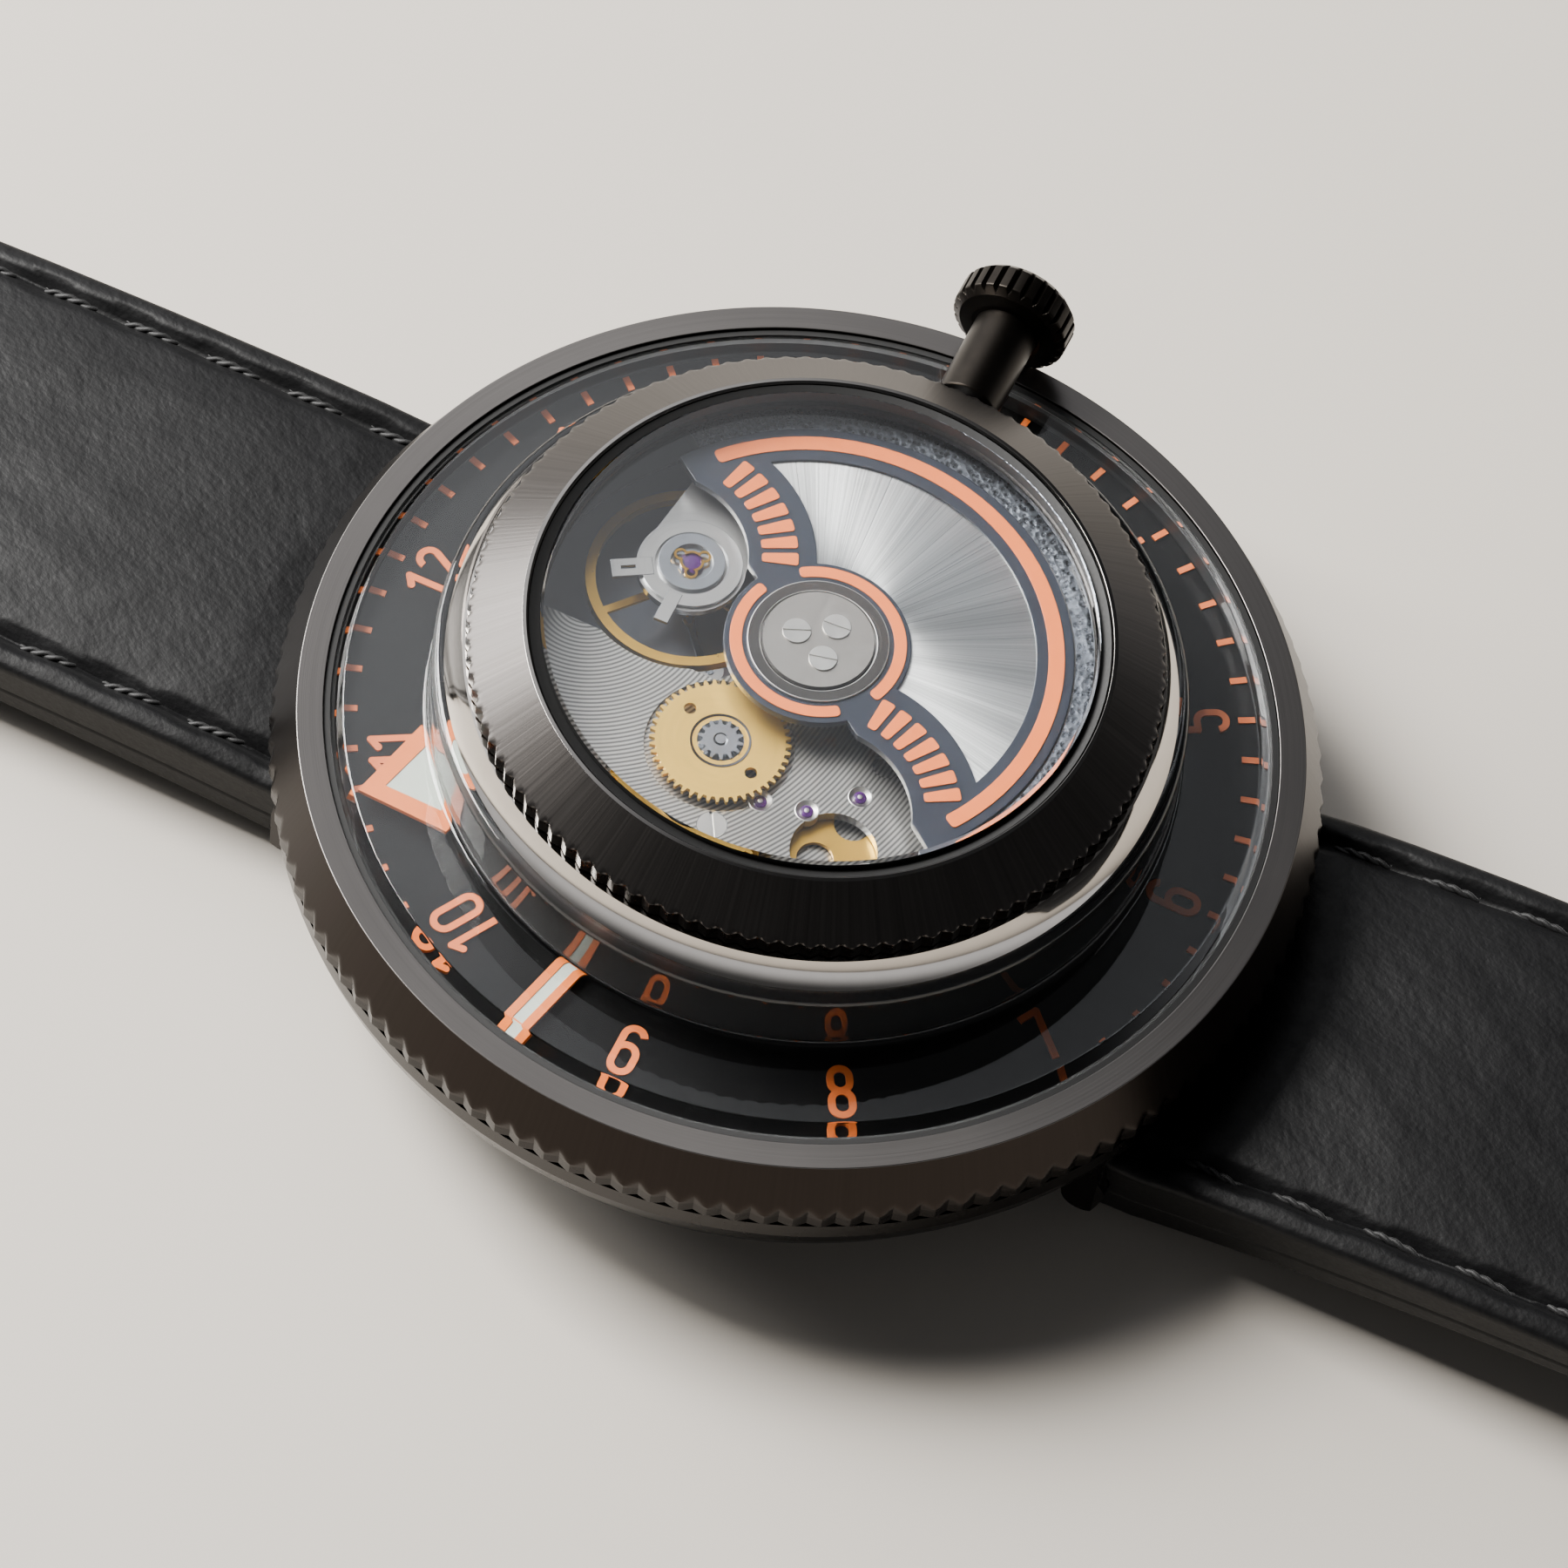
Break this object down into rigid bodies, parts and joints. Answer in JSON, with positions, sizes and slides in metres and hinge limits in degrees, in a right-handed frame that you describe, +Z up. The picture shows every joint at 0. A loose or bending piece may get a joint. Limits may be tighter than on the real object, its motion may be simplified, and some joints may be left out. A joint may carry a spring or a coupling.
{
  "type": "wristwatch",
  "caption": "Automatic wristwatch with the rotor and balance on show under a raised centre crystal, disc-driven pointers on a ring dial, and a two-piece leather strap with buckle.",
  "frame": {"origin": "centre of the case back's flat face, which rests on the surface below", "axes": "+Z up out of the upper crystal, +Y to 12 o'clock along the strap, +X to the crown at 3 o'clock"},
  "size_m": [0.0442, 0.231, 0.0183],
  "materials": {
    "black_steel": "black-coated, satin brushed",
    "grey_coated_steel": "dark grey coated, satin ring with polished bevel",
    "polished_steel": "polished",
    "bridge_steel": "fine circular grain",
    "brass": "circular grain",
    "rubber_seal": "matte",
    "dial_black": "satin lacquer",
    "orange_print": "printed enamel",
    "orange_enamel": "satin enamel",
    "navy_lacquer": "satin lacquer",
    "crystal": "polished, clear",
    "sunray_silver": "radial sunray brushing",
    "heavy_metal": "polished",
    "ruby": "polished synthetic ruby",
    "spring_alloy": "polished blue-grey",
    "black_leather": "fine grained, waxed"
  },
  "bodies": {
    "case": {"case_middle": "black_steel", "case_back": "black_steel", "case_back_gasket": "rubber_seal", "lower_bezel": "grey_coated_steel", "lower_crystal_gasket": "rubber_seal", "dial_plate": "dial_black", "hour_numerals": "orange_print", "minute_track": "orange_print", "ring_crystal": "crystal", "ring_crystal_seal": "rubber_seal", "movement_cup": "black_steel", "crown_tube": "polished_steel", "upper_bezel": "grey_coated_steel", "upper_crystal_gasket": "rubber_seal", "upper_crystal": "crystal", "casing_ring": "polished_steel", "main_plate": "bridge_steel", "barrel_bridge": "bridge_steel", "train_bridge": "bridge_steel", "automatic_bridge": "bridge_steel", "pallet_bridge": "bridge_steel", "balance_cock": "bridge_steel", "regulator": "polished_steel", "shock_setting": "polished_steel", "shock_spring": "brass", "jewels": "ruby", "bridge_screws": "polished_steel", "rotor_bearing": "polished_steel", "bearing_screws": "polished_steel", "spring_bars": "polished_steel"},
    "rotor": {"rotor_frame": "navy_lacquer", "rotor_sunray": "sunray_silver", "rotor_enamel": "orange_enamel", "rotor_weight": "heavy_metal", "rotor_hub": "polished_steel"},
    "winding_wheel": {"winding_wheel": "brass"},
    "reduction_wheel": {"reduction_wheel": "brass"},
    "centre": {"centre_wheel": "brass", "minute_disc": "dial_black", "minute_pointer": "orange_print"},
    "third_wheel": {"third_wheel": "brass"},
    "fourth_wheel": {"fourth_wheel": "brass"},
    "escape_wheel": {"escape_wheel": "brass"},
    "barrel": {"barrel": "brass"},
    "minute_wheel": {"minute_wheel": "brass"},
    "hour": {"hour_disc": "dial_black", "hour_pointer": "orange_print"},
    "balance": {"balance_wheel": "brass", "hairspring": "spring_alloy"},
    "pallet_fork": {"pallet_fork": "polished_steel"},
    "barrel_arbor": {"barrel_arbor": "polished_steel"},
    "crown_wheel": {"crown_wheel": "polished_steel"},
    "clutch": {"sliding_pinion": "polished_steel"},
    "crown": {"winding_stem": "polished_steel", "crown": "black_steel"},
    "strap_12": {"strap_12": "black_leather"},
    "strap_6": {"strap_6": "black_leather"},
    "buckle": {"buckle": "black_steel"},
    "buckle_tongue": {"buckle_tongue": "black_steel"},
    "loose_keeper": {"loose_keeper": "black_leather"}
  },
  "joints": [
    {"name": "rotor_spin", "type": "hinge", "parent": "case", "child": "rotor", "pos_m": [0, 0, 0.0156], "axis": [0, 0, 1], "continuous": true},
    {"name": "winding_wheel_spin", "type": "hinge", "parent": "case", "child": "winding_wheel", "pos_m": [-0.00524, 0.00178, 0.0144], "axis": [0, 0, 1], "continuous": true},
    {"name": "reduction_wheel_spin", "type": "hinge", "parent": "case", "child": "reduction_wheel", "pos_m": [-0.00634, -0.00258, 0.0135], "axis": [0, 0, 1], "continuous": true},
    {"name": "minute_hand", "type": "hinge", "parent": "case", "child": "centre", "pos_m": [0, 0, 0.012], "axis": [0, 0, 1], "continuous": true},
    {"name": "barrel_turn", "type": "hinge", "parent": "case", "child": "barrel", "pos_m": [0.00453, -0.00453, 0.012], "axis": [0, 0, 1], "continuous": true},
    {"name": "third_wheel_spin", "type": "hinge", "parent": "case", "child": "third_wheel", "pos_m": [-0.00338, -0.00123, 0.012], "axis": [0, 0, 1], "continuous": true},
    {"name": "fourth_wheel_spin", "type": "hinge", "parent": "case", "child": "fourth_wheel", "pos_m": [-0.00546, 0.00102, 0.0125], "axis": [0, 0, 1], "continuous": true},
    {"name": "escape_wheel_spin", "type": "hinge", "parent": "case", "child": "escape_wheel", "pos_m": [-0.00298, 0.00244, 0.0116], "axis": [0, 0, 1], "continuous": true},
    {"name": "minute_wheel_spin", "type": "hinge", "parent": "case", "child": "minute_wheel", "pos_m": [-0.00042, 0.00236, 0.0108], "axis": [0, 0, 1], "continuous": true},
    {"name": "hour_hand", "type": "hinge", "parent": "case", "child": "hour", "pos_m": [0, 0, 0.01], "axis": [0, 0, 1], "continuous": true},
    {"name": "balance_swing", "type": "hinge", "parent": "case", "child": "balance", "pos_m": [0.00166, 0.00634, 0.0136], "axis": [0, 0, 1], "range_deg": [-150, 150], "stiffness_Nm_per_rad": 0.000001},
    {"name": "pallet_rock", "type": "hinge", "parent": "case", "child": "pallet_fork", "pos_m": [-0.00122, 0.00392, 0.0117], "axis": [0, 0, 1], "range_deg": [-6, 6]},
    {"name": "crown_turn", "type": "hinge", "parent": "case", "child": "clutch", "pos_m": [0.009, 0, 0.01335], "axis": [1, 0, 0], "continuous": true},
    {"name": "crown_wheel_spin", "type": "hinge", "parent": "case", "child": "crown_wheel", "pos_m": [0.00934, -0.00148, 0.014], "axis": [0, 0, 1], "continuous": true},
    {"name": "barrel_arbor_wind", "type": "hinge", "parent": "case", "child": "barrel_arbor", "pos_m": [0.00453, -0.00453, 0.014], "axis": [0, 0, 1], "continuous": true},
    {"name": "crown_pull", "type": "slide", "parent": "clutch", "child": "crown", "axis": [1, 0, 0], "range_m": [0, 0.001]},
    {"name": "strap_12_fold", "type": "hinge", "parent": "case", "child": "strap_12", "pos_m": [0, 0.0184, 0.0029], "axis": [1, 0, 0], "range_deg": [-75, 5]},
    {"name": "strap_6_fold", "type": "hinge", "parent": "case", "child": "strap_6", "pos_m": [0, -0.0184, 0.0029], "axis": [-1, 0, 0], "range_deg": [-75, 5]},
    {"name": "loose_keeper_slide", "type": "slide", "parent": "strap_12", "child": "loose_keeper", "axis": [0, 1, 0], "range_m": [-0.008, 0.005]},
    {"name": "buckle_fold", "type": "hinge", "parent": "strap_12", "child": "buckle", "pos_m": [0, 0.0884, 0.0022], "axis": [1, 0, 0], "range_deg": [-30, 50]},
    {"name": "tongue_lift", "type": "hinge", "parent": "buckle", "child": "buckle_tongue", "pos_m": [0, 0.0884, 0.0022], "axis": [1, 0, 0], "range_deg": [0, 55]}
  ],
  "couplings": [
    {"joint": "winding_wheel_spin", "follows": "rotor_spin", "ratio": -1},
    {"joint": "reduction_wheel_spin", "follows": "rotor_spin", "ratio": 0.31579},
    {"joint": "barrel_turn", "follows": "minute_hand", "ratio": -0.14286},
    {"joint": "third_wheel_spin", "follows": "minute_hand", "ratio": -8},
    {"joint": "fourth_wheel_spin", "follows": "minute_hand", "ratio": 60},
    {"joint": "escape_wheel_spin", "follows": "minute_hand", "ratio": -600},
    {"joint": "minute_wheel_spin", "follows": "minute_hand", "ratio": -0.33333},
    {"joint": "hour_hand", "follows": "minute_hand", "ratio": 0.083333},
    {"joint": "crown_wheel_spin", "follows": "crown_turn", "ratio": 0.5},
    {"joint": "barrel_arbor_wind", "follows": "crown_turn", "ratio": -0.25}
  ]
}
